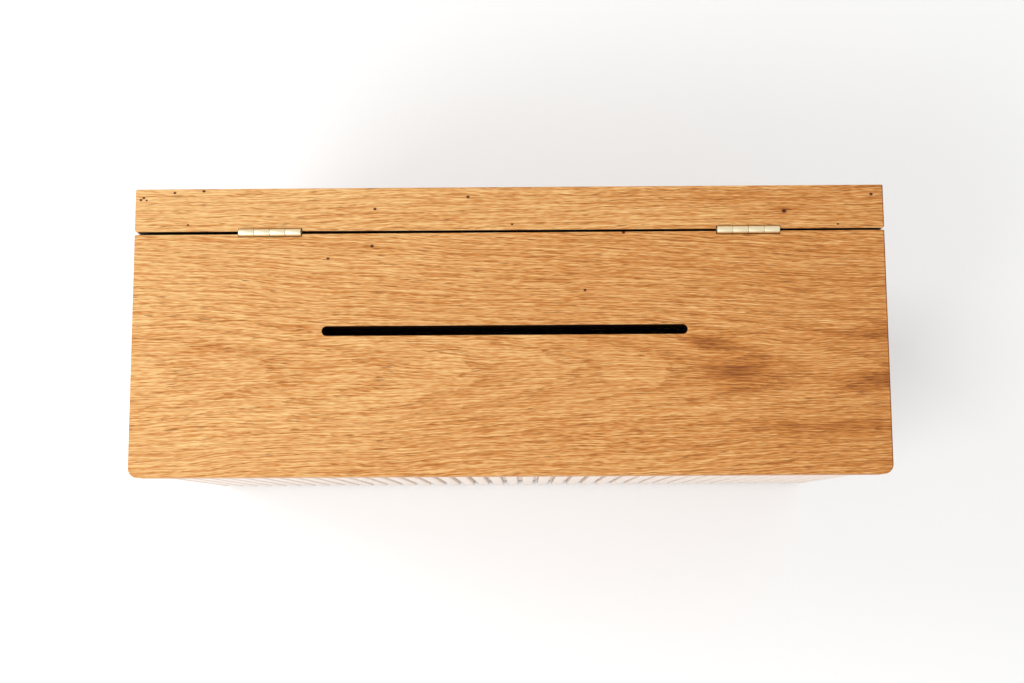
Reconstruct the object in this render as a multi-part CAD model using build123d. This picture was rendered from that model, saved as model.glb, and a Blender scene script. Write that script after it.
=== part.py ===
"""Slotted drop box: an oak lid with a slot, hinged to an oak rail, on a painted body with a ribbed front.

Millimetres, +Z up, front towards -Y. The origin is the centre of the footprint, on the table.
"""

import os

from build123d import *

# Overall: the oak top and its height above the table
width = 480.0
depth = 185.0
height = 290.0

# Oak top: a fixed rail at the rear and the hinged lid in front of it
board_thickness = 18.0
rail_depth = 29.0  # rear edge to the middle of the joint
joint_gap_left = 1.5  # the hand-fitted joint narrows from left to right
joint_gap_right = 0.9
board_overhang = 2.75  # past the body on every side
lid_front_corner = 6.0
lid_rear_corner = 1.0
rail_front_corner = 2.0
rail_rear_corner = 0.8
arris = 0.5  # softening of the boards' long edges

# Slot in the lid
slot_length = 232.0
slot_width = 6.0
slot_from_front = 92.2  # lid's front edge to the slot's middle
slot_offset = -3.0  # slot's middle to the box's middle
slot_arris = 0.4

# Body walls
wall_thickness = 12.0
base_thickness = 9.0
batten_size = 14.0
cleat_height = 20.0
body_rear_corner = 1.5
body_foot_arris = 0.8  # round the bottom of the sides and back

# Slats that cover the front, with open grooves between them
rib_pitch = 11.93
rib_width = 8.0
rib_height = 3.6
rib_corner = 1.0
rib_least_width = 1.0  # of the outer two, which the corners of the body cut

# Butt hinges, with their barrels in the joint at the top face
hinge_spacing = 306.0  # middle to middle
hinge_length = 40.0
knuckle_count = 4
knuckle_gap = 0.2
barrel_radius = 2.4
hinge_pin_radius = 1.1
pin_running_clearance = 0.05
barrel_rise = 0.5  # hinge axis above the boards' top face
leaf_width = 14.0  # hinge axis to the leaf's free edge
leaf_thickness = 1.0
leaf_parting = 0.1  # between the two closed leaves
barrel_clearance = 0.5  # notch in the boards, and cut-outs in the other leaf

# Felt pads under the base
pad_radius = 10.0
pad_thickness = 2.5
pad_inset = 20.0  # pad's middle to the inner faces of the walls

# Screws: shank radius, head radius, length with the head
hinge_screw = (1.1, 2.0, 12.0)
rail_screw = (1.75, 3.4, 30.0)
cleat_screw = (1.5, 3.0, 22.0)
base_screw = (1.5, 3.0, 19.0)
screw_hole_clearance = 0.2  # round the shank in the piece that the head pulls down
head_seat_clearance = 0.03
hinge_screw_from_axis = 9.0
hinge_screw_spacing = 24.0
rail_screw_rows = (-205.0, -60.0, 60.0, 205.0)  # x of each
cleat_screw_rows = (-180.0, -90.0, 0.0, 90.0, 180.0)
long_batten_screw_rows = (-150.0, 0.0, 150.0)

# Headless panel pins, punched under the paint
panel_pin_radius = 0.7
panel_pin_length = 28.0
panel_pin_cover = 1.0  # of filler and paint
panel_pin_rows = 4
panel_pin_end = 30.0  # first row to the end of the panel

# Places that follow from the sizes above
top = height
underside = top - board_thickness
floor = pad_thickness
body_height = underside - floor
body_width = width - 2 * board_overhang
front = -depth / 2
rear = depth / 2
body_front = front + board_overhang
body_rear = rear - board_overhang
panel_front = body_front + rib_height
inner_front = panel_front + wall_thickness
inner_rear = body_rear - wall_thickness
inner_width = body_width - 2 * wall_thickness
inner_floor = floor + base_thickness
joint = rear - rail_depth
axis_height = top + barrel_rise
hinge_places = {"left": -hinge_spacing / 2, "right": hinge_spacing / 2}
knuckle_pitch = hinge_length / knuckle_count


def block(x, y, z):
    """A box between two limits along each axis."""
    size = (x[1] - x[0], y[1] - y[0], z[1] - z[0])
    return Pos(x[0], y[0], z[0]) * Box(*size, align=(Align.MIN, Align.MIN, Align.MIN))


def screw_shank(size):
    """A pointed shank along -Z from the origin, which is also the tool for the hole that it cuts."""
    shank, _, length = size
    point = 2 * shank
    straight = length - point
    shaft = Pos(0, 0, -straight / 2) * Cylinder(shank, straight)
    return shaft + Pos(0, 0, -length + point / 2) * Cone(0.2 * shank, shank, point)


def screw_head(size, clearance=0.0):
    """A countersunk head whose face is at the origin, with sides at 45 degrees."""
    shank, head, _ = size
    sink = head - shank
    return Pos(0, 0, -sink / 2) * Cone(shank + clearance, head + clearance, sink)


def screw(size):
    """A slotted countersunk screw along -Z with its head's face at the origin."""
    shank, head, _ = size
    driver_slot = Box(2 * head, 0.3 * head, 0.7 * (head - shank))
    return screw_shank(size) + screw_head(size) - driver_slot


def screw_hole(size):
    """The tool for a clearance hole with a countersink, as long as the screw."""
    shank, _, length = size
    hole = Pos(0, 0, -length / 2) * Cylinder(shank + screw_hole_clearance, length)
    return hole + screw_head(size, head_seat_clearance)


def placed(shape, places):
    """One shape copied to every place."""
    return [place * shape for place in places]


def without(shape, tools):
    """The shape with every tool cut from it."""
    for tool in tools:
        shape -= tool
    return shape


def panel_pin():
    """A headless pin along -Z, which is also the tool for the hole that it makes."""
    return Pos(0, 0, -panel_pin_length / 2) * Cylinder(panel_pin_radius, panel_pin_length)


# Places of the fasteners, each of which runs along its own -Z
upwards = Rot(180, 0, 0)
rearwards = Rot(90, 0, 0)
forwards = Rot(-90, 0, 0)
sides = (-1, 1)  # left and right

hinge_screw_shifts = [side * hinge_screw_spacing / 2 for side in sides]
hinge_screw_height = axis_height - hinge_screw_from_axis
rail_leaf_screw_places = [
    Pos(x + shift, joint + leaf_parting / 2, hinge_screw_height) * rearwards
    for x in hinge_places.values()
    for shift in hinge_screw_shifts
]
lid_leaf_screw_places = [
    Pos(x + shift, joint - leaf_parting / 2, hinge_screw_height) * forwards
    for x in hinge_places.values()
    for shift in hinge_screw_shifts
]

cleat_middle = (joint + inner_rear) / 2
rail_screw_places = [
    Pos(x, cleat_middle, underside - cleat_height) * upwards for x in rail_screw_rows
]
cleat_screw_places = [
    Pos(x, joint, underside - cleat_height / 2) * rearwards for x in cleat_screw_rows
]
long_batten_middles = (inner_front + batten_size / 2, inner_rear - batten_size / 2)
base_screw_places = [
    Pos(x, y, floor) * upwards for x in long_batten_screw_rows for y in long_batten_middles
]
inner_middle = (inner_front + inner_rear) / 2
short_batten_middle = (inner_width - batten_size) / 2
base_screw_places += [
    Pos(side * short_batten_middle, inner_middle, floor) * upwards for side in sides
]

pin_pitch = (body_height - 2 * panel_pin_end) / (panel_pin_rows - 1)
pin_heights = [floor + panel_pin_end + row * pin_pitch for row in range(panel_pin_rows)]
side_wall_middles = [side * (body_width - wall_thickness) / 2 for side in sides]
front_pin_places = [
    Pos(x, panel_front + panel_pin_cover, z) * rearwards
    for x in side_wall_middles
    for z in pin_heights
]
back_pin_places = [
    Pos(x, body_rear - panel_pin_cover, z) * forwards
    for x in side_wall_middles
    for z in pin_heights
]
pin_places = front_pin_places + back_pin_places


def board(rear_edge, front_edge, rear_corner, front_corner):
    """An oak board across the width, whose edges are the (left, right) y of their ends."""
    outline = Polyline(
        (-width / 2, front_edge[0]),
        (width / 2, front_edge[1]),
        (width / 2, rear_edge[1]),
        (-width / 2, rear_edge[0]),
        close=True,
    )
    face = make_face(outline)
    corners = face.vertices().sort_by(Axis.Y)
    face = fillet(corners[:2], front_corner)
    corners = face.vertices().sort_by(Axis.Y)
    face = fillet(corners[-2:], rear_corner)
    solid = Pos(0, 0, underside) * extrude(face, board_thickness)
    rims = solid.faces().sort_by(Axis.Z)
    return fillet(rims[0].edges() + rims[-1].edges(), arris)


def hinge_recesses(side):
    """Tools for the barrels' notches and the leaves' recesses, behind (+1) or before (-1) the joint."""
    tools = []
    for x in hinge_places.values():
        half_notch = hinge_length / 2 + barrel_clearance
        reach = sorted((joint, joint + side * (barrel_radius + barrel_clearance)))
        low = axis_height - barrel_radius - barrel_clearance
        tools.append(block((x - half_notch, x + half_notch), reach, (low, top + 1)))
        half_leaf = hinge_length / 2
        reach = sorted((joint, joint + side * (leaf_parting / 2 + leaf_thickness)))
        tools.append(block((x - half_leaf, x + half_leaf), reach, (axis_height - leaf_width, top + 1)))
    return tools


def rear_top_rail():
    """The fixed oak rail behind the joint."""
    front_edge = (joint + joint_gap_left / 2, joint + joint_gap_right / 2)
    rail = board((rear, rear), front_edge, rail_rear_corner, rail_front_corner)
    rail = without(rail, hinge_recesses(1))
    rail = without(rail, placed(screw_shank(hinge_screw), rail_leaf_screw_places))
    return without(rail, placed(screw_shank(rail_screw), rail_screw_places))


def lid_board():
    """The hinged oak lid, with its slot."""
    rear_edge = (joint - joint_gap_left / 2, joint - joint_gap_right / 2)
    lid = board(rear_edge, (front, front), lid_rear_corner, lid_front_corner)
    slot_outline = Pos(slot_offset, front + slot_from_front) * SlotOverall(slot_length, slot_width)
    lid -= Pos(0, 0, underside) * extrude(slot_outline, board_thickness)
    lid -= Pos(0, 0, top - slot_arris) * extrude(slot_outline, 2 * slot_arris, taper=-45)
    lid = without(lid, hinge_recesses(-1))
    return without(lid, placed(screw_shank(hinge_screw), lid_leaf_screw_places))


def front_rib_slats():
    """Slats side by side from the middle outwards; the last two are cut flush with the body's sides."""
    outline = Pos(0, -rib_height / 2) * Rectangle(rib_width, rib_height)
    outline = fillet(outline.vertices().sort_by(Axis.Y)[:2], rib_corner)
    slat = Pos(0, panel_front, floor) * extrude(outline, body_height)
    half = body_width / 2
    reach = int((half + rib_width / 2 - rib_least_width) / rib_pitch)
    whole = block((-half, half), (body_front, panel_front), (floor, underside))
    return [(Pos(i * rib_pitch, 0, 0) * slat) & whole for i in range(-reach, reach + 1)]


def body_form():
    """The outside of the walls as one solid, which softens the edges of the panels cut from it."""
    outline = Pos(0, (panel_front + body_rear) / 2) * Rectangle(body_width, body_rear - panel_front)
    outline = fillet(outline.vertices().sort_by(Axis.Y)[-2:], body_rear_corner)
    form = Pos(0, 0, floor) * extrude(outline, body_height)
    foot = form.faces().sort_by(Axis.Z)[0].edges().sort_by(Axis.Y)
    return fillet(foot[1:], body_foot_arris)


def wall(x, y, pins):
    """A wall panel between two limits along X and Y, with the holes of its pins."""
    panel = block(x, y, (floor, underside)) & body_form()
    return without(panel, placed(panel_pin(), pins))


def front_panel():
    """The board behind the slats."""
    return wall((-body_width / 2, body_width / 2), (panel_front, inner_front), front_pin_places)


def back_panel():
    """The rear wall, which the cleat is screwed to."""
    panel = wall((-body_width / 2, body_width / 2), (inner_rear, body_rear), back_pin_places)
    return without(panel, placed(screw_shank(cleat_screw), cleat_screw_places))


def side_panel(side):
    """A side wall between the front and back panels; side is -1 on the left and +1 on the right."""
    span = sorted((side * inner_width / 2, side * body_width / 2))
    return wall(span, (inner_front, inner_rear), pin_places)


def base_panel():
    """The floor of the box, inside the walls."""
    half = inner_width / 2
    panel = block((-half, half), (inner_front, inner_rear), (floor, inner_floor))
    return without(panel, placed(screw_hole(base_screw), base_screw_places))


def base_battens():
    """Four battens round the inside, on the base."""
    z = (inner_floor, inner_floor + batten_size)
    half = inner_width / 2
    battens = [
        block((-half, half), (inner_front, inner_front + batten_size), z),
        block((-half, half), (inner_rear - batten_size, inner_rear), z),
    ]
    between = (inner_front + batten_size, inner_rear - batten_size)
    battens += [
        block((-half, batten_size - half), between, z),
        block((half - batten_size, half), between, z),
    ]
    holes = placed(screw_shank(base_screw), base_screw_places)
    return [without(batten, holes) for batten in battens]


def rail_cleat():
    """The batten under the rail, from the back panel to the joint."""
    half = inner_width / 2
    cleat = block((-half, half), (joint, inner_rear), (underside - cleat_height, underside))
    cleat = without(cleat, placed(screw_hole(rail_screw), rail_screw_places))
    return without(cleat, placed(screw_hole(cleat_screw), cleat_screw_places))


def knuckles(first, radius, margin):
    """Every second knuckle of a hinge at x = 0 as full cylinders, longer by the margin at each end."""
    length = knuckle_pitch - knuckle_gap + 2 * margin
    return [
        Pos((i + 0.5) * knuckle_pitch - hinge_length / 2, 0, 0) * Rot(0, 90, 0) * Cylinder(radius, length)
        for i in range(first, knuckle_count, 2)
    ]


def hinge_leaf(side, first, bore_radius, x):
    """A leaf on the rail (+1) or lid (-1) with its knuckles, cut out round the other leaf's."""
    near = side * leaf_parting / 2
    reach = sorted((near, near + side * leaf_thickness))
    half = hinge_length / 2
    leaf = block((-half, half), reach, (-leaf_width, 0))
    leaf = without(leaf, knuckles(1 - first, barrel_radius + barrel_clearance, knuckle_gap))
    for knuckle in knuckles(first, barrel_radius, 0):
        leaf += knuckle
    leaf -= Rot(0, 90, 0) * Cylinder(bore_radius, 2 * hinge_length)
    leaf = Pos(x, joint, axis_height) * leaf
    screw_places = rail_leaf_screw_places if side > 0 else lid_leaf_screw_places
    return without(leaf, placed(screw_hole(hinge_screw), screw_places))


def hinge_pin(x):
    """The pin, tight in the rail leaf's knuckles and free in the lid leaf's."""
    pin = Rot(0, 90, 0) * Cylinder(hinge_pin_radius, hinge_length - knuckle_gap)
    return Pos(x, joint, axis_height) * pin


def foot_pads():
    """Round felt pads near the base's four corners."""
    pad = Cylinder(pad_radius, pad_thickness, align=(Align.CENTER, Align.CENTER, Align.MIN))
    return [
        Pos(side * (inner_width / 2 - pad_inset), y, 0) * pad
        for side in sides
        for y in (inner_front + pad_inset, inner_rear - pad_inset)
    ]


nodes = {
    "lid_board": lid_board(),
    "rear_top_rail": rear_top_rail(),
    "front_rib_slats": front_rib_slats(),
    "front_panel": front_panel(),
    "left_side_panel": side_panel(-1),
    "right_side_panel": side_panel(1),
    "back_panel": back_panel(),
    "base_panel": base_panel(),
    "base_battens": base_battens(),
    "rail_cleat": rail_cleat(),
    "panel_pins": placed(panel_pin(), pin_places),
    "base_screws": placed(screw(base_screw), base_screw_places),
    "cleat_screws": placed(screw(cleat_screw), cleat_screw_places),
    "rail_screws": placed(screw(rail_screw), rail_screw_places),
    "rail_hinge_screws": placed(screw(hinge_screw), rail_leaf_screw_places),
    "lid_hinge_screws": placed(screw(hinge_screw), lid_leaf_screw_places),
    "foot_pads": foot_pads(),
}
for name, x in hinge_places.items():
    nodes[name + "_hinge_rail_leaf"] = hinge_leaf(1, 0, hinge_pin_radius, x)
    nodes[name + "_hinge_lid_leaf"] = hinge_leaf(-1, 1, hinge_pin_radius + pin_running_clearance, x)
    nodes[name + "_hinge_pin"] = hinge_pin(x)

os.makedirs("parts", exist_ok=True)
for name, shape in nodes.items():
    solids = Compound(children=shape) if isinstance(shape, list) else shape
    export_step(solids, f"parts/{name}.step")
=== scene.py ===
"""Looks of a slotted drop box: oiled oak top, painted ribbed body, brass butt hinges, and a plain studio."""

import math
from collections import namedtuple

import bpy
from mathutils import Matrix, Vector


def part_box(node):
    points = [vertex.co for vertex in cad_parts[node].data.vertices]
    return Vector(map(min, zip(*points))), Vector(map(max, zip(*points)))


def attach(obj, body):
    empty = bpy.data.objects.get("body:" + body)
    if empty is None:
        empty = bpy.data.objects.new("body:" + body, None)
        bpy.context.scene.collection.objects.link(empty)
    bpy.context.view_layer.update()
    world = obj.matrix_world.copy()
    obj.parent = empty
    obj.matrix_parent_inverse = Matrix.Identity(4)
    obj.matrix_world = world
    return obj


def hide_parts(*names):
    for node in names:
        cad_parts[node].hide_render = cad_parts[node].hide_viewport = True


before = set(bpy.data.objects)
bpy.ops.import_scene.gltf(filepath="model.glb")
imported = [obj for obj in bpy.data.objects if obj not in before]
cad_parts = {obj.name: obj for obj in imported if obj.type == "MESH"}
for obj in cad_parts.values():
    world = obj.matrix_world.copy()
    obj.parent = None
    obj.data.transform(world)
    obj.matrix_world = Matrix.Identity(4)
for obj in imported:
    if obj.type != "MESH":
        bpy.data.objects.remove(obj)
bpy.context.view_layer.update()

MM = 0.001

bl_info = {
    "name": "Slotted Drop Box",
    "version": (1, 0, 0),
    "blender": (4, 5, 0),
    "location": "3D Viewport > Sidebar > Drop Box",
    "description": "Finishes the drop box's woodwork and models its slats, hinges and pads",
    "category": "Object",
}


# Places that the CAD nodes in model.glb give, in metres


def corners(node):
    """Lowest and highest corner of a CAD node."""
    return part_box(node)


LID_LOW, LID_HIGH = corners("lid_board")
RAIL_LOW = corners("rear_top_rail")[0]
TOP = LID_HIGH.z
UNDERSIDE = LID_LOW.z
SLATS_LOW, SLATS_HIGH = corners("front_rib_slats")
BASE_LOW, BASE_HIGH = corners("base_panel")
PADS_LOW, PADS_HIGH = corners("foot_pads")


# Settings that a user would change


class OakSettings(bpy.types.PropertyGroup):
    """Colours and figure of the oiled oak."""

    pale: bpy.props.StringProperty(
        name="Pale wood", description="The palest fibres, sRGB hex", default="#E2BB7F"
    )
    golden: bpy.props.StringProperty(
        name="Golden wood", description="The usual colour of the pale end, sRGB hex", default="#CA9357"
    )
    ripe: bpy.props.StringProperty(
        name="Ripe wood", description="The usual colour of the darker end, sRGB hex", default="#B87535"
    )
    deep: bpy.props.StringProperty(
        name="Deep wood", description="The darkest fibres, sRGB hex", default="#793F15"
    )
    pore: bpy.props.StringProperty(
        name="Pores", description="Open pores, darkened by the oil, sRGB hex", default="#7A4A22"
    )
    knot: bpy.props.StringProperty(
        name="Pin knots", description="Middle of a pin knot, sRGB hex", default="#4A1A0C"
    )
    # Painted shade: the near-black colour given to the faces in the slot and the joint
    hollow: bpy.props.StringProperty(
        name="Slot and joint", description="Faces in the slot and the joint, sRGB hex", default="#22140B"
    )
    ring_pitch: bpy.props.FloatProperty(
        name="Ring pitch",
        description="Width of a year's growth",
        default=3.2 * MM,
        subtype="DISTANCE",
        unit="LENGTH",
    )
    fibre_length: bpy.props.FloatProperty(
        name="Fibre length",
        description="Length of a fibre along the grain",
        default=26 * MM,
        subtype="DISTANCE",
        unit="LENGTH",
    )
    fibre_width: bpy.props.FloatProperty(
        name="Fibre width",
        description="Width of a fibre, which is drawn as coarse as it needs to be to show",
        default=0.31 * MM,
        subtype="DISTANCE",
        unit="LENGTH",
    )
    line_pitch: bpy.props.FloatProperty(
        name="Line pitch",
        description="One fine line of cut fibres to the next, drawn coarser than it is",
        default=1.9 * MM,
        subtype="DISTANCE",
        unit="LENGTH",
    )
    depth: bpy.props.FloatProperty(
        name="Depth", description="How deep the colour is in the middle, 0 pale to 1 deep", default=0.42
    )
    # Partly the wood's own tone and partly painted shade: the colour deepens from the lit left end to the
    # right
    deepening_and_shade: bpy.props.FloatProperty(
        name="Ripening", description="How much deeper the colour gets from end to end", default=0.24
    )


class PaintSettings(bpy.types.PropertyGroup):
    """Colours of the body's paint and of the bare boards inside."""

    paint: bpy.props.StringProperty(
        name="Paint", description="Warm white satin paint, sRGB hex", default="#E5D5C9"
    )
    thin_paint: bpy.props.StringProperty(
        name="Thin paint", description="Paint where it lies a little thinner, sRGB hex", default="#CDB9A2"
    )
    board: bpy.props.StringProperty(
        name="Fibreboard", description="Bare fibreboard inside, sRGB hex", default="#A98159"
    )
    fibre: bpy.props.StringProperty(
        name="Fibres", description="Pale fibres in the fibreboard, sRGB hex", default="#C39C70"
    )


class SlatSettings(bpy.types.PropertyGroup):
    """Shape of the slats."""

    pitch: bpy.props.FloatProperty(
        name="Pitch",
        description="Middle of a slat to the middle of the next",
        default=11.93 * MM,
        subtype="DISTANCE",
        unit="LENGTH",
    )
    width: bpy.props.FloatProperty(
        name="Width", description="Width of a slat", default=8.0 * MM, subtype="DISTANCE", unit="LENGTH"
    )
    corner: bpy.props.FloatProperty(
        name="Corner",
        description="Rounding of a slat's long edges",
        default=1.0 * MM,
        subtype="DISTANCE",
        unit="LENGTH",
    )
    arris: bpy.props.FloatProperty(
        name="End arris",
        description="Softening of the slats' ends and cut sides",
        default=0.3 * MM,
        subtype="DISTANCE",
        unit="LENGTH",
    )


class HingeSettings(bpy.types.PropertyGroup):
    """Shape of the brass butt hinges."""

    brass: bpy.props.StringProperty(
        name="Brass", description="Polished brass, sRGB hex", default="#F8E9C4"
    )
    steel: bpy.props.StringProperty(
        name="Steel", description="Zinc-plated steel, sRGB hex", default="#B9BCBE"
    )
    knuckles: bpy.props.IntProperty(
        name="Knuckles", description="Knuckles in one barrel", default=4, min=2
    )
    gap: bpy.props.FloatProperty(
        name="Knuckle gap",
        description="Gap between two knuckles",
        default=0.2 * MM,
        subtype="DISTANCE",
        unit="LENGTH",
    )
    leaf: bpy.props.FloatProperty(
        name="Leaf thickness",
        description="Thickness of a leaf's plate",
        default=1.0 * MM,
        subtype="DISTANCE",
        unit="LENGTH",
    )
    parting: bpy.props.FloatProperty(
        name="Leaf parting",
        description="Gap between two closed leaves",
        default=0.1 * MM,
        subtype="DISTANCE",
        unit="LENGTH",
    )
    bore_play: bpy.props.FloatProperty(
        name="Bore play",
        description="How much wider the bore's radius is than the pin's",
        default=0.03 * MM,
        subtype="DISTANCE",
        unit="LENGTH",
    )
    plate_edge: bpy.props.FloatProperty(
        name="Plate edge",
        description="Softening of a leaf's edges",
        default=0.12 * MM,
        subtype="DISTANCE",
        unit="LENGTH",
    )
    knuckle_edge: bpy.props.FloatProperty(
        name="Knuckle edge",
        description="Softening of a knuckle's ends",
        default=0.18 * MM,
        subtype="DISTANCE",
        unit="LENGTH",
    )
    clearance: bpy.props.FloatProperty(
        name="Cut-out clearance",
        description="Clearance of a leaf's cut-outs round the other leaf's knuckles",
        default=0.5 * MM,
        subtype="DISTANCE",
        unit="LENGTH",
    )


class StudioSettings(bpy.types.PropertyGroup):
    """Camera, floor and lights."""

    camera_place: bpy.props.FloatVectorProperty(
        name="Camera place",
        description="Camera from the middle of the footprint, with its height above the top",
        default=(0.0079, -0.1243, 0.8935),
        subtype="TRANSLATION",
        unit="LENGTH",
    )
    camera_turn: bpy.props.FloatVectorProperty(
        name="Camera turn",
        description="Turn from looking straight down with the front at the bottom",
        default=(math.radians(7.432), math.radians(0.436), math.radians(-0.294)),
        subtype="EULER",
        unit="ROTATION",
    )
    lens: bpy.props.FloatProperty(
        name="Lens", description="Focal length on a 36 mm sensor, in millimetres", default=50.0, min=1.0
    )


# What sets one oak board apart, with lengths in millimetres: heart is the y of the pith, pith_drop its depth
# under the top face, taper how fast the rings run out along the board, and the field after seed how much
# paler the whole board is coloured, which is painted light: the rail is coloured as more brightly lit than
# the lid

Board = namedtuple("Board", "heart pith_drop taper seed fade knots stains hollows")
Knot = namedtuple("Knot", "x y size")
Stain = namedtuple("Stain", "x y half_length half_width strength")
# A slot or joint whose faces are given painted shade, from rim millimetres under the top face down
Hollow = namedtuple("Hollow", "x y half_x half_y rim")


# Materials


def linear(colour):
    """An sRGB hex colour as linear red, green, blue and alpha."""
    parts = [int(colour[i : i + 2], 16) / 255 for i in (1, 3, 5)]
    return [p / 12.92 if p <= 0.04045 else ((p + 0.055) / 1.055) ** 2.4 for p in parts] + [1.0]


def add(tree, kind, inputs=None, **settings):
    """Adds a node with its settings; an input takes a value, a socket, or a node's first output."""
    made = tree.nodes.new(kind)
    for key, value in settings.items():
        setattr(made, key, value)
    for key, value in (inputs or {}).items():
        if isinstance(value, bpy.types.Node):
            tree.links.new(value.outputs[0], made.inputs[key])
        elif isinstance(value, bpy.types.NodeSocket):
            tree.links.new(value, made.inputs[key])
        else:
            made.inputs[key].default_value = value
    return made


def new_material(name):
    """An empty material with its output, and its node tree."""
    material = bpy.data.materials.new(name)
    material.use_nodes = True
    material.node_tree.nodes.clear()
    return material, material.node_tree


def finish_material(tree, inputs):
    """Closes a material with the shader that has these inputs."""
    shader = add(tree, "ShaderNodeBsdfPrincipled", inputs)
    add(tree, "ShaderNodeOutputMaterial", {"Surface": shader})


def millimetres(tree):
    """The object's own coordinates in millimetres."""
    place = add(tree, "ShaderNodeTexCoord").outputs["Object"]
    return add(tree, "ShaderNodeVectorMath", {0: place, "Scale": 1000.0}, operation="SCALE")


def marks(tree, vector, length, width, detail, reach, shift=(0.0, 0.0, 0.0)):
    """Marks of this length along X and this width, in millimetres, that swing from -reach to reach."""
    scale = (1 / length, 1 / width, 1 / width)
    space = add(tree, "ShaderNodeMapping", {"Vector": vector, "Location": shift, "Scale": scale})
    noise = add(
        tree, "ShaderNodeTexNoise", {"Vector": space, "Scale": 1.0, "Detail": detail, "Roughness": 0.5}
    )
    return add(
        tree, "ShaderNodeMapRange", {0: noise, 1: 0.25, 2: 0.75, 3: -reach, 4: reach}, clamp=False
    )


def sawn_oak(name, settings, board):
    """Flat-sawn oak, planed and rubbed with oil. Sawing it flat lets the growth rings run out at the face in
    long tongues, planing cuts the fibres into fine lines, and the oil darkens the rows of open pores."""
    material, tree = new_material(name)
    place = millimetres(tree)
    x, y, z = add(tree, "ShaderNodeSeparateXYZ", {0: place}).outputs
    shifted = add(tree, "ShaderNodeMapping", {"Vector": place, "Location": (board.seed * 700.0, 0.0, 0.0)})
    across, radius = pith_distance(tree, board, shifted, y, z)
    ripple = marks(tree, shifted, 26.0, 5.0, detail=3.0, reach=1.0)
    early, seasons = growth_rings(tree, settings, board, x, radius, ripple)
    along = lie_of_grain(tree, board, x, across, radius)
    lay = add(tree, "ShaderNodeCombineXYZ", {0: x, 1: along, 2: z})
    fibres, flecks, lines = cut_fibres(tree, settings, board, lay, along)
    pores = open_pores(tree, settings, board, lay, early)

    # The colour
    shares = ((seasons, 0.07), (early, 0.10), (fibres, 0.38), (flecks, 0.36), (lines, 0.11))
    depth = oak_depth(tree, settings, board, x, along, lay, shares)
    ground = oak_colours(tree, settings, depth)
    pore_depth = add(tree, "ShaderNodeMath", {0: pores, 1: 0.75}, operation="MULTIPLY")
    mix = {0: pore_depth, 6: ground, 7: linear(settings.pore)}
    colour = add(tree, "ShaderNodeMix", mix, data_type="RGBA").outputs[2]
    colour = knotted(tree, settings, board, colour, x, y, ripple)
    # Painted shade on the faces in the slot and the joint
    for hollow in board.hollows:
        colour = painted_shade(tree, settings, colour, hollow, x, y, z)

    # The surface: fibres stand a little proud, and pores are open and dull
    relief = add(tree, "ShaderNodeMath", {0: pores, 1: -1.0, 2: fibres}, operation="MULTIPLY_ADD")
    bump = add(tree, "ShaderNodeBump", {"Height": relief, "Strength": 0.35, "Distance": 0.08 * MM})
    roughness = add(tree, "ShaderNodeMapRange", {0: pores, 3: 0.45, 4: 0.7})
    finish_material(
        tree, {"Base Color": colour, "Roughness": roughness, "Normal": bump, "Specular IOR Level": 0.2}
    )
    return material


def pith_distance(tree, board, shifted, y, z):
    """How far a point lies beside the pith, and how far from it."""
    # The grain wanders a little over a hand's length
    wander = marks(tree, shifted, 120.0, 40.0, detail=2.0, reach=2.4)
    across = add(tree, "ShaderNodeMath", {0: y, 1: -board.heart}, operation="ADD")
    across = add(tree, "ShaderNodeMath", {0: across, 1: wander}, operation="ADD")
    drop = add(tree, "ShaderNodeMath", {0: z, 1: board.pith_drop - 1000 * TOP}, operation="ADD")
    arm = add(tree, "ShaderNodeCombineXYZ", {1: across, 2: drop})
    radius = add(tree, "ShaderNodeVectorMath", {0: arm}, operation="LENGTH").outputs["Value"]
    return across, radius


def growth_rings(tree, settings, board, x, radius, ripple):
    """Early wood in each ring, and how one year differs from the next."""
    run_out = add(tree, "ShaderNodeMath", {0: x, 1: board.taper, 2: radius}, operation="MULTIPLY_ADD")
    ring = add(tree, "ShaderNodeMath", {0: run_out, 1: ripple}, operation="ADD")
    years = add(tree, "ShaderNodeMath", {0: ring, 1: 1000 * settings.ring_pitch}, operation="DIVIDE")
    year = add(tree, "ShaderNodeMath", {0: years}, operation="FRACT")
    early = add(
        tree, "ShaderNodeMapRange", {0: year, 1: 0.0, 2: 0.8, 3: 0.5, 4: -0.5},
        interpolation_type="SMOOTHSTEP",
    )
    seasons = add(
        tree, "ShaderNodeTexNoise", {"W": years, "Scale": 0.45, "Detail": 2.0, "Roughness": 0.6},
        noise_dimensions="1D",
    )
    seasons = add(
        tree, "ShaderNodeMapRange", {0: seasons, 1: 0.25, 2: 0.75, 3: -0.5, 4: 0.5}, clamp=False
    )
    return early, seasons


def lie_of_grain(tree, board, x, across, radius):
    """How far a point lies across the fibres, which follow the rings' own direction."""
    lean = add(tree, "ShaderNodeMath", {0: across, 1: radius}, operation="DIVIDE")
    lean = add(tree, "ShaderNodeMath", {0: lean, 1: x}, operation="MULTIPLY")
    return add(tree, "ShaderNodeMath", {0: lean, 1: board.taper, 2: across}, operation="MULTIPLY_ADD")


def cut_fibres(tree, settings, board, lay, along):
    """Long fibres, short flecks, and fine lines side by side. Real fibres are too thin to show, so these are
    drawn several times as wide."""
    length, width = 1000 * settings.fibre_length, 1000 * settings.fibre_width
    fibres = marks(tree, lay, length, width, detail=1.0, reach=0.5, shift=(board.seed * 9.0, 0.0, 0.0))
    flecks = marks(tree, lay, length / 5.5, width, detail=0.0, reach=0.5, shift=(board.seed * 3.0, 4.0, 0.0))
    sway = marks(tree, lay, length, 3.0, detail=1.0, reach=3.5)
    line_turn = math.tau / (1000 * settings.line_pitch)
    lines = add(tree, "ShaderNodeMath", {0: along, 1: line_turn, 2: sway}, operation="MULTIPLY_ADD")
    lines = add(tree, "ShaderNodeMath", {0: lines}, operation="SINE")
    return fibres, flecks, lines


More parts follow.
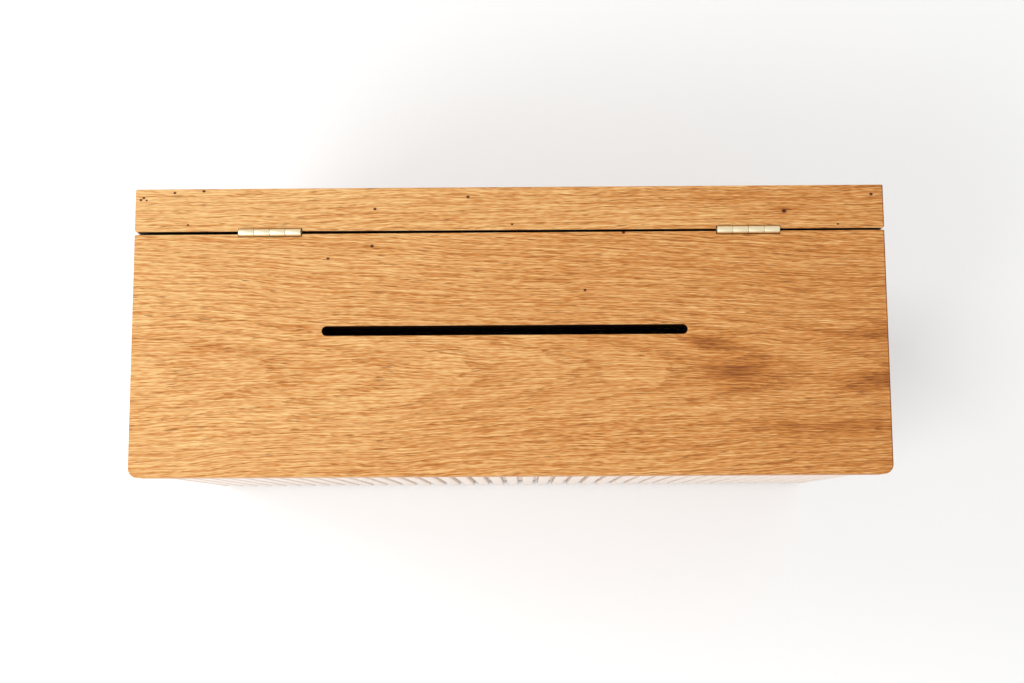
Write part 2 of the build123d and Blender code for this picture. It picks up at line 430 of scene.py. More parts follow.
def open_pores(tree, settings, board, lay, early):
    """Open pores, most of them in the early wood, and drawn several times as wide as they are."""
    length, width = 1000 * settings.fibre_length / 3, 1000 * settings.fibre_width / 0.7
    pores = marks(tree, lay, length, width, detail=1.0, reach=0.5, shift=(board.seed * 5.0, 7.0, 0.0))
    pores = add(
        tree, "ShaderNodeMapRange", {0: pores, 1: 0.08, 2: 0.32}, interpolation_type="SMOOTHSTEP"
    )
    crowding = add(tree, "ShaderNodeMapRange", {0: early, 1: -0.3, 2: 0.5, 3: 0.15, 4: 1.0})
    return add(tree, "ShaderNodeMath", {0: pores, 1: crowding}, operation="MULTIPLY")


def oak_depth(tree, settings, board, x, along, lay, shares):
    """How deep the colour is, from 0 to 1: a depth that grows from end to end, partly the wood's own tone and
    partly painted shade of the light falling off to the right, a board's painted paleness where it is more
    lit, a share of each pattern, the stains, and painted shade on the right end."""
    # Partly the wood's own tone and partly painted shade: the depth grows along X, away from the light on the
    # left
    per_millimetre = settings.deepening_and_shade / (1000 * (LID_HIGH.x - LID_LOW.x))
    # Painted light: each board is made paler or deeper as a whole, the rail as if more brightly lit than the
    # lid
    middle = settings.depth - board.fade
    depth = add(tree, "ShaderNodeMath", {0: x, 1: per_millimetre, 2: middle}, operation="MULTIPLY_ADD")
    streaks = marks(tree, lay, 60.0, 4.5, detail=2.0, reach=0.5)
    clouds = marks(tree, lay, 90.0, 20.0, detail=2.0, reach=0.5)
    for pattern, share in (*shares, (streaks, 0.02), (clouds, 0.08)):
        depth = add(tree, "ShaderNodeMath", {0: pattern, 1: share, 2: depth}, operation="MULTIPLY_ADD")
    for stain in board.stains:
        depth = stained(tree, depth, board, stain, x, along, clouds)

    # Painted shade: the right end and a strip along its edge are coloured deeper than the face, as if turned
    # away from the light
    right_shade_start, right_shade_depth = 1000 * LID_HIGH.x - 0.7, 0.5
    shaded_right_end = add(tree, "ShaderNodeMath", {0: x, 1: right_shade_start}, operation="GREATER_THAN")
    return add(tree, "ShaderNodeMath", {0: shaded_right_end, 1: right_shade_depth, 2: depth}, operation="MULTIPLY_ADD")


def stained(tree, depth, board, stain, x, along, clouds):
    """Deepens the colour in one soft patch along the grain."""
    spot = add(
        tree, "ShaderNodeMapping",
        {
            "Vector": add(tree, "ShaderNodeCombineXYZ", {0: x, 1: along}),
            "Location": (-stain.x / stain.half_length, -(stain.y - board.heart) / stain.half_width, 0.0),
            "Scale": (1 / stain.half_length, 1 / stain.half_width, 1.0),
        },
    )
    away = add(tree, "ShaderNodeVectorMath", {0: spot}, operation="LENGTH").outputs["Value"]
    away = add(tree, "ShaderNodeMath", {0: clouds, 1: 0.8, 2: away}, operation="MULTIPLY_ADD")
    patch = add(
        tree, "ShaderNodeMapRange", {0: away, 1: 0.1, 2: 1.5, 3: stain.strength, 4: 0.0},
        interpolation_type="SMOOTHSTEP",
    )
    return add(tree, "ShaderNodeMath", {0: depth, 1: patch}, operation="ADD")


def oak_colours(tree, settings, depth):
    """The wood's colour for a depth from 0 to 1."""
    ramp = add(tree, "ShaderNodeValToRGB", {0: depth})
    elements = ramp.color_ramp.elements
    elements.remove(elements[1])
    elements[0].color = linear(settings.pale)
    for stop, colour in ((0.36, settings.golden), (0.58, settings.ripe), (1.0, settings.deep)):
        elements.new(stop).color = linear(colour)
    return ramp.outputs[0]


def knotted(tree, settings, board, colour, x, y, ripple):
    """Pin knots: small dark dots, a little longer along the grain than across it."""
    flat = add(tree, "ShaderNodeCombineXYZ", {0: x, 1: y})
    nearest = None
    for knot in board.knots:
        apart = add(tree, "ShaderNodeVectorMath", {0: flat, 1: (knot.x, knot.y, 0.0)}, operation="SUBTRACT")
        shape = (0.8 / knot.size, 1 / knot.size, 0.0)
        stretched = add(tree, "ShaderNodeVectorMath", {0: apart, 1: shape}, operation="MULTIPLY")
        away = add(tree, "ShaderNodeVectorMath", {0: stretched}, operation="LENGTH").outputs["Value"]
        if nearest is None:
            nearest = away
        else:
            nearest = add(tree, "ShaderNodeMath", {0: nearest, 1: away}, operation="MINIMUM")
    ragged = add(tree, "ShaderNodeMath", {0: ripple, 1: 0.2, 2: nearest}, operation="MULTIPLY_ADD")
    inside = add(
        tree, "ShaderNodeMapRange", {0: ragged, 1: 0.5, 2: 1.4, 3: 1.0, 4: 0.0},
        interpolation_type="SMOOTHSTEP",
    )
    mix = {0: inside, 6: colour, 7: linear(settings.knot)}
    return add(tree, "ShaderNodeMix", mix, data_type="RGBA").outputs[2]


def painted_shade(tree, settings, colour, hollow, x, y, z):
    """Painted shade: the faces in a slot or a joint are coloured near black from a little under the board's
    top face down, where shade falls in the recess.
    """
    middle_z, half_z = 500 * (TOP + UNDERSIDE), 500 * (TOP - UNDERSIDE)
    inside = add(tree, "ShaderNodeMath", {0: x, 1: hollow.x, 2: hollow.half_x}, operation="COMPARE")
    near = add(tree, "ShaderNodeMath", {0: y, 1: hollow.y, 2: hollow.half_y}, operation="COMPARE")
    level = add(tree, "ShaderNodeMath", {0: z, 1: middle_z, 2: half_z - hollow.rim}, operation="COMPARE")
    inside = add(tree, "ShaderNodeMath", {0: inside, 1: near}, operation="MULTIPLY")
    inside = add(tree, "ShaderNodeMath", {0: inside, 1: level}, operation="MULTIPLY")
    mix = {0: inside, 6: colour, 7: linear(settings.hollow)}
    return add(tree, "ShaderNodeMix", mix, data_type="RGBA").outputs[2]


def painted_board(name, settings):
    """Satin water-based paint, rolled on fibreboard: the roller leaves a fine stipple, and inside the box
    the board is bare, with its fibres showing."""
    material, tree = new_material(name)
    place = millimetres(tree)
    stipple = add(
        tree, "ShaderNodeTexNoise", {"Vector": place, "Scale": 0.9, "Detail": 2.0, "Roughness": 0.6}
    )
    cloud = add(tree, "ShaderNodeTexNoise", {"Vector": place, "Scale": 0.02, "Detail": 3.0})
    thin = add(tree, "ShaderNodeMapRange", {0: cloud, 1: 0.3, 2: 0.7, 3: 0.0, 4: 0.06})
    mix = {0: thin, 6: linear(settings.paint), 7: linear(settings.thin_paint)}
    paint = add(tree, "ShaderNodeMix", mix, data_type="RGBA").outputs[2]
    fibre = add(tree, "ShaderNodeTexNoise", {"Vector": place, "Scale": 1.6, "Detail": 5.0, "Roughness": 0.7})
    fibre = add(tree, "ShaderNodeMapRange", {0: fibre, 1: 0.3, 2: 0.7})
    mix = {0: fibre, 6: linear(settings.board), 7: linear(settings.fibre)}
    bare = add(tree, "ShaderNodeMix", mix, data_type="RGBA").outputs[2]

    # Inside is what lies within the walls' inner faces, which stand just outside the base
    gap = 0.2
    half = 1000 * (BASE_HIGH.x - BASE_LOW.x) / 2 + gap
    front, back = 1000 * BASE_LOW.y - gap, 1000 * BASE_HIGH.y + gap
    x, y = add(tree, "ShaderNodeSeparateXYZ", {0: place}).outputs[:2]
    beside = add(tree, "ShaderNodeMath", {0: x}, operation="ABSOLUTE")
    inside = add(tree, "ShaderNodeMath", {0: beside, 1: half}, operation="LESS_THAN")
    behind = add(tree, "ShaderNodeMath", {0: y, 1: front}, operation="GREATER_THAN")
    before = add(tree, "ShaderNodeMath", {0: y, 1: back}, operation="LESS_THAN")
    inside = add(tree, "ShaderNodeMath", {0: inside, 1: behind}, operation="MULTIPLY")
    inside = add(tree, "ShaderNodeMath", {0: inside, 1: before}, operation="MULTIPLY")
    colour = add(tree, "ShaderNodeMix", {0: inside, 6: paint, 7: bare}, data_type="RGBA").outputs[2]
    roughness = add(tree, "ShaderNodeMapRange", {0: inside, 3: 0.42, 4: 0.85})
    bump = add(tree, "ShaderNodeBump", {"Height": stipple, "Strength": 0.25, "Distance": 0.06 * MM})
    finish_material(tree, {"Base Color": colour, "Roughness": roughness, "Normal": bump})
    return material


def painted_slat(name, settings):
    """The same paint laid on with a brush: faint bristle marks run down the slats."""
    material, tree = new_material(name)
    place = millimetres(tree)
    streak_space = add(tree, "ShaderNodeMapping", {"Vector": place, "Scale": (1.6, 1.6, 1 / 45)})
    streaks = add(tree, "ShaderNodeTexNoise", {"Vector": streak_space, "Scale": 1.0, "Detail": 3.0})
    thin = add(tree, "ShaderNodeMapRange", {0: streaks, 1: 0.3, 2: 0.7, 3: 0.0, 4: 0.08})
    mix = {0: thin, 6: linear(settings.paint), 7: linear(settings.thin_paint)}
    colour = add(tree, "ShaderNodeMix", mix, data_type="RGBA").outputs[2]
    bump = add(tree, "ShaderNodeBump", {"Height": streaks, "Strength": 0.3, "Distance": 0.05 * MM})
    finish_material(tree, {"Base Color": colour, "Roughness": 0.4, "Normal": bump})
    return material


def planed_wood(name, pale, dark):
    """Planed pine or the face of birch plywood: pale wood with straight, darker lines, a few millimetres
    apart."""
    material, tree = new_material(name)
    place = millimetres(tree)
    space = add(tree, "ShaderNodeMapping", {"Vector": place, "Scale": (1 / 90, 1 / 2.4, 1 / 3.1)})
    grain = add(
        tree, "ShaderNodeTexNoise", {"Vector": space, "Scale": 1.0, "Detail": 3.0, "Distortion": 0.6}
    )
    lines = add(tree, "ShaderNodeMapRange", {0: grain, 1: 0.42, 2: 0.66}, interpolation_type="SMOOTHSTEP")
    mix = {0: lines, 6: linear(pale), 7: linear(dark)}
    colour = add(tree, "ShaderNodeMix", mix, data_type="RGBA").outputs[2]
    bump = add(tree, "ShaderNodeBump", {"Height": grain, "Strength": 0.3, "Distance": 0.08 * MM})
    finish_material(tree, {"Base Color": colour, "Roughness": 0.6, "Normal": bump})
    return material


def worn_metal(name, colour, roughness):
    """A bright metal with faint handling marks that dull it in places."""
    material, tree = new_material(name)
    place = millimetres(tree)
    smudges = add(tree, "ShaderNodeTexNoise", {"Vector": place, "Scale": 0.35, "Detail": 3.0})
    dull = add(tree, "ShaderNodeMapRange", {0: smudges, 1: 0.3, 2: 0.7, 3: roughness, 4: roughness + 0.12})
    lathe_space = add(tree, "ShaderNodeMapping", {"Vector": place, "Scale": (9.0, 0.7, 0.7)})
    lathe = add(tree, "ShaderNodeTexNoise", {"Vector": lathe_space, "Scale": 1.0, "Detail": 2.0})
    bump = add(tree, "ShaderNodeBump", {"Height": lathe, "Strength": 0.12, "Distance": 0.02 * MM})
    tint = add(tree, "ShaderNodeMapRange", {0: smudges, 1: 0.3, 2: 0.8, 3: 0.0, 4: 0.35})
    deep = [0.72 * part for part in linear(colour)[:3]] + [1.0]
    mix = {0: tint, 6: linear(colour), 7: deep}
    base = add(tree, "ShaderNodeMix", mix, data_type="RGBA").outputs[2]
    finish_material(tree, {"Base Color": base, "Metallic": 1.0, "Roughness": dull, "Normal": bump})
    return material


def pressed_felt(name, colour):
    """Pressed wool felt: a matted nap that catches a little light at its edges."""
    material, tree = new_material(name)
    place = millimetres(tree)
    nap = add(tree, "ShaderNodeTexNoise", {"Vector": place, "Scale": 2.2, "Detail": 6.0, "Roughness": 0.75})
    tuft = add(tree, "ShaderNodeMapRange", {0: nap, 1: 0.3, 2: 0.7})
    pale = [min(1.0, 1.7 * part) for part in linear(colour)[:3]] + [1.0]
    mix = {0: tuft, 6: linear(colour), 7: pale}
    base = add(tree, "ShaderNodeMix", mix, data_type="RGBA").outputs[2]
    bump = add(tree, "ShaderNodeBump", {"Height": nap, "Strength": 0.6, "Distance": 0.3 * MM})
    finish_material(
        tree,
        {"Base Color": base, "Roughness": 0.95, "Normal": bump, "Sheen Weight": 0.3, "Sheen Roughness": 0.6},
    )
    return material


def give(material, *names):
    """Puts one material on each CAD node."""
    for name in names:
        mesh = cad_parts[name].data
        mesh.materials.clear()
        mesh.materials.append(material)


# Modelling helpers


def start_piece():
    """Leaves nothing selected and no mode open, ready for a new primitive."""
    if bpy.context.mode != "OBJECT":
        bpy.ops.object.mode_set(mode="OBJECT")
    bpy.ops.object.select_all(action="DESELECT")


def select_only(*pieces):
    """Selects these pieces, the last one active."""
    start_piece()
    for piece in pieces:
        piece.select_set(True)
    bpy.context.view_layer.objects.active = pieces[-1]


def settle(piece, name, material, body):
    """Bakes a piece's place into its mesh, names it, and hangs it on its body."""
    select_only(piece)
    bpy.ops.object.transform_apply(location=True, rotation=True, scale=True)
    piece.name = name
    piece.data.name = name
    piece.data.materials.clear()
    piece.data.materials.append(material)
    bpy.ops.object.shade_smooth_by_angle(angle=math.radians(32))
    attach(piece, body)
    return piece


def select_edges(piece, test):
    """In edit mode, selects the edges whose middle and direction pass the test."""
    bpy.ops.object.mode_set(mode="OBJECT")
    mesh = piece.data
    for group in (mesh.vertices, mesh.edges, mesh.polygons):
        group.foreach_set("select", [False] * len(group))
    for edge in mesh.edges:
        start, end = [mesh.vertices[i].co for i in edge.vertices]
        edge.select = test((start + end) / 2, (end - start).normalized())
    bpy.ops.object.mode_set(mode="EDIT")
    bpy.ops.mesh.select_mode(type="EDGE")


def copy_to(piece, place):
    """A copy of a piece with its own mesh, at a place."""
    made = piece.copy()
    made.data = piece.data.copy()
    made.location = place
    bpy.context.scene.collection.objects.link(made)
    return made


def apply_modifier(piece, kind, **settings):
    """Adds one modifier and applies it."""
    select_only(piece)
    modifier = piece.modifiers.new(kind.title(), kind)
    for key, value in settings.items():
        setattr(modifier, key, value)
    bpy.ops.object.modifier_apply(modifier=modifier.name)


def cylinder(radius, length, middle, along="Z", sides=48):
    """A closed cylinder along an axis."""
    turn = {"X": (0, math.pi / 2, 0), "Y": (math.pi / 2, 0, 0), "Z": (0, 0, 0)}[along]
    start_piece()
    bpy.ops.mesh.primitive_cylinder_add(
        vertices=sides, radius=radius, depth=length, location=middle, rotation=turn, end_fill_type="NGON"
    )
    bpy.ops.object.transform_apply(location=True, rotation=True, scale=True)
    return bpy.context.active_object


def soften(piece, width, segments=3):
    """Rounds a piece's sharp edges."""
    apply_modifier(
        piece, "BEVEL", width=width, segments=segments, limit_method="ANGLE", angle_limit=math.radians(40),
        harden_normals=False,
    )


# Pieces


class DROPBOX_OT_oak_top(bpy.types.Operator):
    """Oil the two oak boards"""

    bl_idname = "dropbox.oak_top"
    bl_label = "Oak Top"

    def execute(self, context):
        settings = context.scene.dropbox_oak
        lid_knots = ((-87.5, 54.4, 0.9), (-115.6, 46.5, 0.85), (48.3, 25.1, 0.85), (73.4, 62.2, 0.85))
        rail_knots = (
            (-236.5, 85.5, 0.8), (-234.6, 86.8, 0.8), (-232.8, 85.2, 0.6), (-214.7, 90.0, 0.9),
            (-196.0, 91.0, 0.8), (-205.8, 68.9, 0.6), (-85.8, 78.6, 0.85), (-26.1, 86.1, 1.0),
            (2.1, 68.0, 0.7), (176.3, 75.5, 1.3), (232.3, 86.2, 0.9), (210.5, 66.8, 0.6),
        )
        lid_stains = (
            (148.0, -26.0, 25.0, 14.0, 0.40), (127.0, -6.0, 18.0, 6.0, 0.30), (236.0, -34.0, 36.0, 8.0, 0.28),
            (215.0, -68.0, 70.0, 6.0, 0.22), (235.0, 0.0, 40.0, 6.0, 0.20), (-192.0, -15.0, 22.0, 4.0, 0.14),
        )
        rail_stains = ((176.0, 75.5, 12.0, 2.0, 0.40), (150.0, 83.0, 60.0, 5.0, 0.12))
        joint = self.joint()
        lid = Board(
            heart=-27.0, pith_drop=62.0, taper=0.05, seed=1, fade=-0.02, hollows=(self.slot(), joint),
            knots=[Knot(*knot) for knot in lid_knots], stains=[Stain(*stain) for stain in lid_stains],
        )
        rail = Board(
            heart=130.0, pith_drop=60.0, taper=0.012, seed=2, fade=0.05, hollows=(joint,),
            knots=[Knot(*knot) for knot in rail_knots], stains=[Stain(*stain) for stain in rail_stains],
        )
        give(sawn_oak("oiled_oak_lid", settings, lid), "lid_board")
        give(sawn_oak("oiled_oak_rail", settings, rail), "rear_top_rail")
        return {"FINISHED"}

    def joint(self):
        """The joint between the boards, short of its rounded outer ends, whose faces are given painted shade.
        """
        middle = 500 * (LID_HIGH.y + RAIL_LOW.y)
        return Hollow(0.0, middle, half_x=1000 * LID_HIGH.x - 2.2, half_y=1.6, rim=0.05)

    def slot(self):
        """The slot with a little clearance, from the lid's vertices that lie well inside its edges; its faces
        are given painted shade.
        """
        margin, clearance = 20 * MM, 0.2
        low_x, high_x = LID_LOW.x + margin, LID_HIGH.x - margin
        low_y, high_y = LID_LOW.y + margin, LID_HIGH.y - margin
        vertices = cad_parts["lid_board"].data.vertices
        places = [v.co for v in vertices if low_x < v.co.x < high_x and low_y < v.co.y < high_y]
        xs, ys = [place.x for place in places], [place.y for place in places]
        return Hollow(
            x=500 * (min(xs) + max(xs)),
            y=500 * (min(ys) + max(ys)),
            half_x=500 * (max(xs) - min(xs)) + clearance,
            half_y=500 * (max(ys) - min(ys)) + clearance,
            rim=0.25,
        )


class DROPBOX_OT_painted_walls(bpy.types.Operator):
    """Paint the walls and leave their inner faces bare"""

    bl_idname = "dropbox.painted_walls"
    bl_label = "Painted Walls"

    def execute(self, context):
        paint = painted_board("satin_paint_on_fibreboard", context.scene.dropbox_paint)
        give(paint, "front_panel", "left_side_panel", "right_side_panel", "back_panel")
        return {"FINISHED"}


class DROPBOX_OT_inner_woodwork(bpy.types.Operator):
    """Finish the base, the battens and the cleat"""

    bl_idname = "dropbox.inner_woodwork"
    bl_label = "Inner Woodwork"

    def execute(self, context):
        give(planed_wood("birch_plywood", "#DCC094", "#C9A671"), "base_panel")
        give(planed_wood("planed_pine", "#DDB77E", "#B98348"), "base_battens", "rail_cleat")
        return {"FINISHED"}


class DROPBOX_OT_slats(bpy.types.Operator):
    """Model one slat and set copies of it side by side, the outer two cut flush with the sides"""

    bl_idname = "dropbox.slats"
    bl_label = "Front Slats"

    def execute(self, context):
        settings = context.scene.dropbox_slats
        half = (SLATS_HIGH.x - SLATS_LOW.x) / 2
        narrowest = 1.0 * MM
        reach = math.floor((half + settings.width / 2 - narrowest) / settings.pitch)
        last = reach * settings.pitch
        whole = self.slat(settings, settings.width / 2)
        cut = self.slat(settings, half - last)
        slats = [copy_to(whole, (i * settings.pitch, 0.0, 0.0)) for i in range(1 - reach, reach)]
        slats.append(copy_to(cut, (last, 0.0, 0.0)))
        slats.append(copy_to(cut, (last, 0.0, 0.0)))

        # The last copy goes to the other end
        select_only(slats[-1])
        bpy.ops.transform.mirror(constraint_axis=(True, False, False), center_override=(0, 0, 0))
        bpy.ops.object.transform_apply(location=True, rotation=True, scale=True)
        bpy.ops.object.mode_set(mode="EDIT")
        bpy.ops.mesh.select_all(action="SELECT")
        bpy.ops.mesh.normals_make_consistent(inside=False)
        bpy.ops.object.mode_set(mode="OBJECT")
        bpy.data.objects.remove(whole)
        bpy.data.objects.remove(cut)
        select_only(*slats)
        bpy.ops.object.join()
        piece = bpy.context.active_object
        paint = painted_slat("satin_paint_on_slats", context.scene.dropbox_paint)
        settle(piece, "front_slats", paint, "box")
        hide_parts("front_rib_slats")
        return {"FINISHED"}

    def slat(self, settings, right):
        """A slat round x = 0, cut off at its right side."""
        size = Vector((settings.width, SLATS_HIGH.y - SLATS_LOW.y, SLATS_HIGH.z - SLATS_LOW.z))
        start_piece()
        bpy.ops.mesh.primitive_cube_add(size=1.0)
        slat = bpy.context.active_object
        slat.scale = size
        slat.location = (0.0, (SLATS_LOW.y + SLATS_HIGH.y) / 2, (SLATS_LOW.z + SLATS_HIGH.z) / 2)
        bpy.ops.object.transform_apply(location=True, rotation=True, scale=True)
        front = SLATS_LOW.y
        select_edges(slat, lambda middle, way: abs(way.z) > 0.9 and abs(middle.y - front) < MM / 100)
        bpy.ops.mesh.bevel(offset=settings.corner, segments=6, affect="EDGES")
        if right < settings.width / 2:
            bpy.ops.mesh.select_all(action="SELECT")
            bpy.ops.mesh.bisect(plane_co=(right, 0, 0), plane_no=(1, 0, 0), use_fill=True, clear_outer=True)
        bpy.ops.object.mode_set(mode="OBJECT")
        soften(slat, settings.arris, 2)
        return slat


class DROPBOX_OT_hinges(bpy.types.Operator):
    """Model the brass leaves with their knuckles, the pins and the screws' finish"""

    bl_idname = "dropbox.hinges"
    bl_label = "Hinges"

    def execute(self, context):
        settings = context.scene.dropbox_hinges
        brass = worn_metal("polished_brass", settings.brass, roughness=0.32)
        steel = worn_metal("zinc_plated_steel", settings.steel, roughness=0.34)
        give(brass, "rail_hinge_screws", "lid_hinge_screws")
        give(steel, "base_screws", "cleat_screws", "rail_screws", "panel_pins")
        for side in ("left", "right"):
            self.leaf(settings, brass, side, "rail", way=1, first=0)
            self.leaf(settings, brass, side, "lid", way=-1, first=1)
            self.pin(steel, side)
        return {"FINISHED"}

    def leaf(self, settings, brass, side, board, way, first):
        """One leaf: a plate cut out round the other leaf's knuckles, joined to its own. way is the side of
        the pin that its plate lies on, and first its own first knuckle."""
        node = f"{side}_hinge_{board}_leaf"
        low, high = corners(node)
        pin_low, pin_high = corners(f"{side}_hinge_pin")
        axis = (pin_low + pin_high) / 2
        inner = axis.y + way * settings.parting / 2
        plate = self.plate(settings, low, high, axis, inner + way * settings.leaf / 2)
        self.knuckles(settings, plate, low, high, axis, first)
        bore = (pin_high.z - pin_low.z) / 2 + settings.bore_play
        self.cut(plate, cylinder(bore, 2 * (high.x - low.x), axis, "X"), "DIFFERENCE")
        self.countersinks(plate, board, inner, way)
        settle(plate, f"{side}_{board}_leaf", brass, "box" if board == "rail" else "lid")
        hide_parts(node)

    def plate(self, settings, low, high, axis, middle_y):
        """The plate, from the leaf's foot up to the pin's axis."""
        start_piece()
        bpy.ops.mesh.primitive_cube_add(size=1.0)
        plate = bpy.context.active_object
        plate.scale = (high.x - low.x, settings.leaf, axis.z - low.z)
        plate.location = (axis.x, middle_y, (axis.z + low.z) / 2)
        bpy.ops.object.transform_apply(location=True, rotation=True, scale=True)
        soften(plate, settings.plate_edge, 2)
        return plate

    def knuckles(self, settings, plate, low, high, axis, first):
        """Cuts out the other leaf's knuckles, and then joins this leaf's own."""
        barrel = (high.y - low.y) / 2
        pitch = (high.x - low.x) / settings.knuckles
        places = [(low.x + (i + 0.5) * pitch, axis.y, axis.z) for i in range(settings.knuckles)]
        for place in places[1 - first :: 2]:
            tool = cylinder(barrel + settings.clearance, pitch + settings.gap, place, "X")
            self.cut(plate, tool, "DIFFERENCE")
        for place in places[first::2]:
            tool = cylinder(barrel, pitch - settings.gap, place, "X", sides=64)
            soften(tool, settings.knuckle_edge)
            self.cut(plate, tool, "UNION")

    def countersinks(self, plate, board, inner, way):
        """Seats for the screws, each of which lies where its own screw is."""
        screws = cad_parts[f"{board}_hinge_screws"].data
        low_x = min(v.co.x for v in plate.data.vertices)
        high_x = max(v.co.x for v in plate.data.vertices)
        here = [v.co for v in screws.vertices if low_x < v.co.x < high_x]
        heads = [v for v in here if abs(v.y - inner) < MM / 100]
        middle_x = (low_x + high_x) / 2
        for group in ([v for v in heads if v.x < middle_x], [v for v in heads if v.x > middle_x]):
            xs, zs = [v.x for v in group], [v.z for v in group]
            centre = Vector(((min(xs) + max(xs)) / 2, inner, (min(zs) + max(zs)) / 2))
            self.countersink(plate, centre, (max(zs) - min(zs)) / 2, way)

    def countersink(self, plate, centre, head, way):
        """One cone for a screw's head, of this radius, and the hole for its shank."""
        seat = head + 0.05 * MM
        hole, through = 0.62 * seat, 4 * MM
        start_piece()
        bpy.ops.mesh.primitive_cone_add(
            vertices=48, radius1=seat, radius2=0.0, depth=seat,
            location=centre + Vector((0, way * seat / 2, 0)), rotation=(-way * math.pi / 2, 0, 0),
        )
        cone = bpy.context.active_object
        bpy.ops.object.transform_apply(location=True, rotation=True, scale=True)
        self.cut(plate, cone, "DIFFERENCE")
        self.cut(plate, cylinder(hole, through, centre, "Y"), "DIFFERENCE")

    def cut(self, piece, tool, operation):
        """Cuts or joins a tool, and removes it."""
        apply_modifier(piece, "BOOLEAN", operation=operation, object=tool, solver="EXACT")
        bpy.data.objects.remove(tool)

    def pin(self, steel, side):
        """A pin with domed ends."""
        node = f"{side}_hinge_pin"
        low, high = corners(node)
        radius = (high.z - low.z) / 2
        dome = 0.45 * radius
        pin = cylinder(radius, high.x - low.x, (low + high) / 2, "X")
        soften(pin, dome, 4)
        settle(pin, f"{side}_pin", steel, "box")
        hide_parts(node)


class DROPBOX_OT_foot_pads(bpy.types.Operator):
    """Model one felt pad and set four of them under the base"""

    bl_idname = "dropbox.foot_pads"
    bl_label = "Foot Pads"

    def execute(self, context):
        felt = pressed_felt("pressed_wool_felt", "#4B443D")
        thickness = PADS_HIGH.z - PADS_LOW.z
        xs = [v.co.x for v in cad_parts["foot_pads"].data.vertices]
        radius = (max(x for x in xs if x < 0) - min(xs)) / 2
        middle = (PADS_LOW.x + radius, PADS_LOW.y + radius, PADS_LOW.z + thickness / 2)
        pad = cylinder(radius, thickness, middle, sides=64)
        soften(pad, 0.25 * thickness, 4)
        steps = ((0, 0), (1, 0), (0, 1), (1, 1))
        span = (PADS_HIGH.x - PADS_LOW.x - 2 * radius, PADS_HIGH.y - PADS_LOW.y - 2 * radius)
        names = ("front_left", "front_right", "rear_left", "rear_right")
        for (along, back), name in zip(steps, names):
            copy = copy_to(pad, (along * span[0], back * span[1], 0.0))
            settle(copy, f"{name}_pad", felt, "box")
            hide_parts("foot_pads")
        bpy.data.objects.remove(pad)
        return {"FINISHED"}


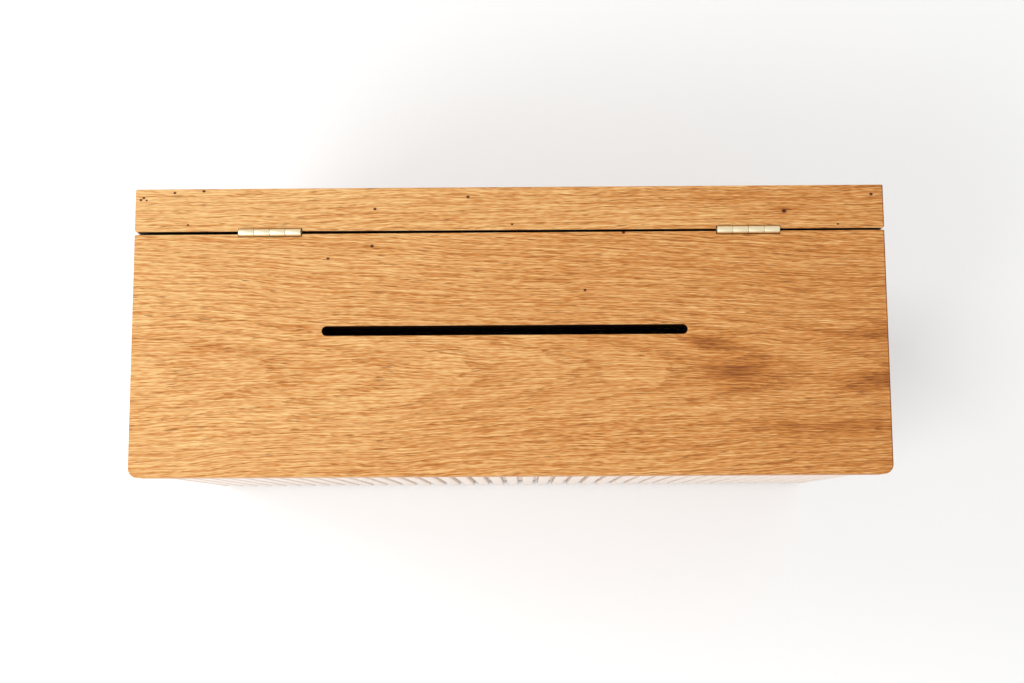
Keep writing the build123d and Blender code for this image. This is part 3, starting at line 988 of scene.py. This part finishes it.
class DROPBOX_OT_studio(bpy.types.Operator):
    """Set the camera, the pale floor and the soft lights"""

    bl_idname = "dropbox.studio"
    bl_label = "Studio"

    def execute(self, context):
        settings = context.scene.dropbox_studio
        scene = context.scene
        scene.view_settings.view_transform = "Standard"
        self.camera(scene, settings)
        self.floor()
        self.light("window_softbox", place=(-1.7, 0.9, 2.0), size=1.2, power=18.0)
        self.light("key_softbox", place=(-0.9, -0.8, 1.5), size=0.9, power=13.5)
        self.light("front_fill", place=(-0.2, -2.0, 1.9), size=1.2, power=3.6)
        world = bpy.data.worlds.new("studio_air")
        world.use_nodes = True
        tree = world.node_tree
        tree.nodes.clear()
        sky = add(tree, "ShaderNodeBackground", {"Color": (1.0, 1.0, 1.0, 1.0), "Strength": 0.85})
        add(tree, "ShaderNodeOutputWorld", {"Surface": sky})
        scene.world = world
        return {"FINISHED"}

    def camera(self, scene, settings):
        """The camera looks down on the top from just before the front."""
        lens = bpy.data.cameras.new("camera")
        lens.lens = settings.lens
        lens.sensor_width = 36.0
        camera = bpy.data.objects.new("camera", lens)
        x, y, above = settings.camera_place
        camera.location = (x, y, TOP + above)
        camera.rotation_euler = settings.camera_turn
        scene.collection.objects.link(camera)
        scene.camera = camera

    def floor(self):
        """A wide white table top."""
        start_piece()
        bpy.ops.mesh.primitive_plane_add(size=60.0, location=(0.0, 0.0, 0.0))
        floor = bpy.context.active_object
        floor.name = "studio_floor"
        material, tree = new_material("matt_white_table")
        finish_material(tree, {"Base Color": (0.86, 0.86, 0.86, 1.0), "Roughness": 0.7})
        floor.data.materials.append(material)

    def light(self, name, place, size, power):
        """A square softbox that faces the upper part of the box."""
        target = Vector((0.0, 0.0, 0.2))
        data = bpy.data.lights.new(name, "AREA")
        data.shape = "SQUARE"
        data.size = size
        data.energy = power
        lamp = bpy.data.objects.new(name, data)
        lamp.location = place
        lamp.rotation_euler = (target - Vector(place)).to_track_quat("-Z", "Y").to_euler()
        bpy.context.scene.collection.objects.link(lamp)


class DROPBOX_PT_panel(bpy.types.Panel):
    """Lists the pieces of the drop box"""

    bl_label = "Drop Box"
    bl_idname = "DROPBOX_PT_panel"
    bl_space_type = "VIEW_3D"
    bl_region_type = "UI"
    bl_category = "Drop Box"

    def draw(self, context):
        for group in GROUPS:
            settings = getattr(context.scene, group)
            box = self.layout.box()
            for name in settings.__annotations__:
                box.prop(settings, name)
        for operator in OPERATORS:
            self.layout.operator(operator.bl_idname)


GROUPS = {
    "dropbox_oak": OakSettings,
    "dropbox_paint": PaintSettings,
    "dropbox_slats": SlatSettings,
    "dropbox_hinges": HingeSettings,
    "dropbox_studio": StudioSettings,
}
OPERATORS = (
    DROPBOX_OT_oak_top,
    DROPBOX_OT_painted_walls,
    DROPBOX_OT_inner_woodwork,
    DROPBOX_OT_slats,
    DROPBOX_OT_hinges,
    DROPBOX_OT_foot_pads,
    DROPBOX_OT_studio,
)


def register():
    """Registers the classes and hangs the settings on the scene."""
    for group in GROUPS.values():
        bpy.utils.register_class(group)
    for operator in OPERATORS:
        bpy.utils.register_class(operator)
    bpy.utils.register_class(DROPBOX_PT_panel)
    for name, group in GROUPS.items():
        setattr(bpy.types.Scene, name, bpy.props.PointerProperty(type=group))


def unregister():
    """Takes the settings and the classes away again."""
    for name in GROUPS:
        delattr(bpy.types.Scene, name)
    bpy.utils.unregister_class(DROPBOX_PT_panel)
    for operator in reversed(OPERATORS):
        bpy.utils.unregister_class(operator)
    for group in reversed(GROUPS.values()):
        bpy.utils.unregister_class(group)


def main():
    """Registers the add-on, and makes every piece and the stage."""
    register()
    bpy.ops.dropbox.oak_top()
    bpy.ops.dropbox.painted_walls()
    bpy.ops.dropbox.inner_woodwork()
    bpy.ops.dropbox.slats()
    bpy.ops.dropbox.hinges()
    bpy.ops.dropbox.foot_pads()
    bpy.ops.dropbox.studio()


if __name__ == "__main__":
    main()
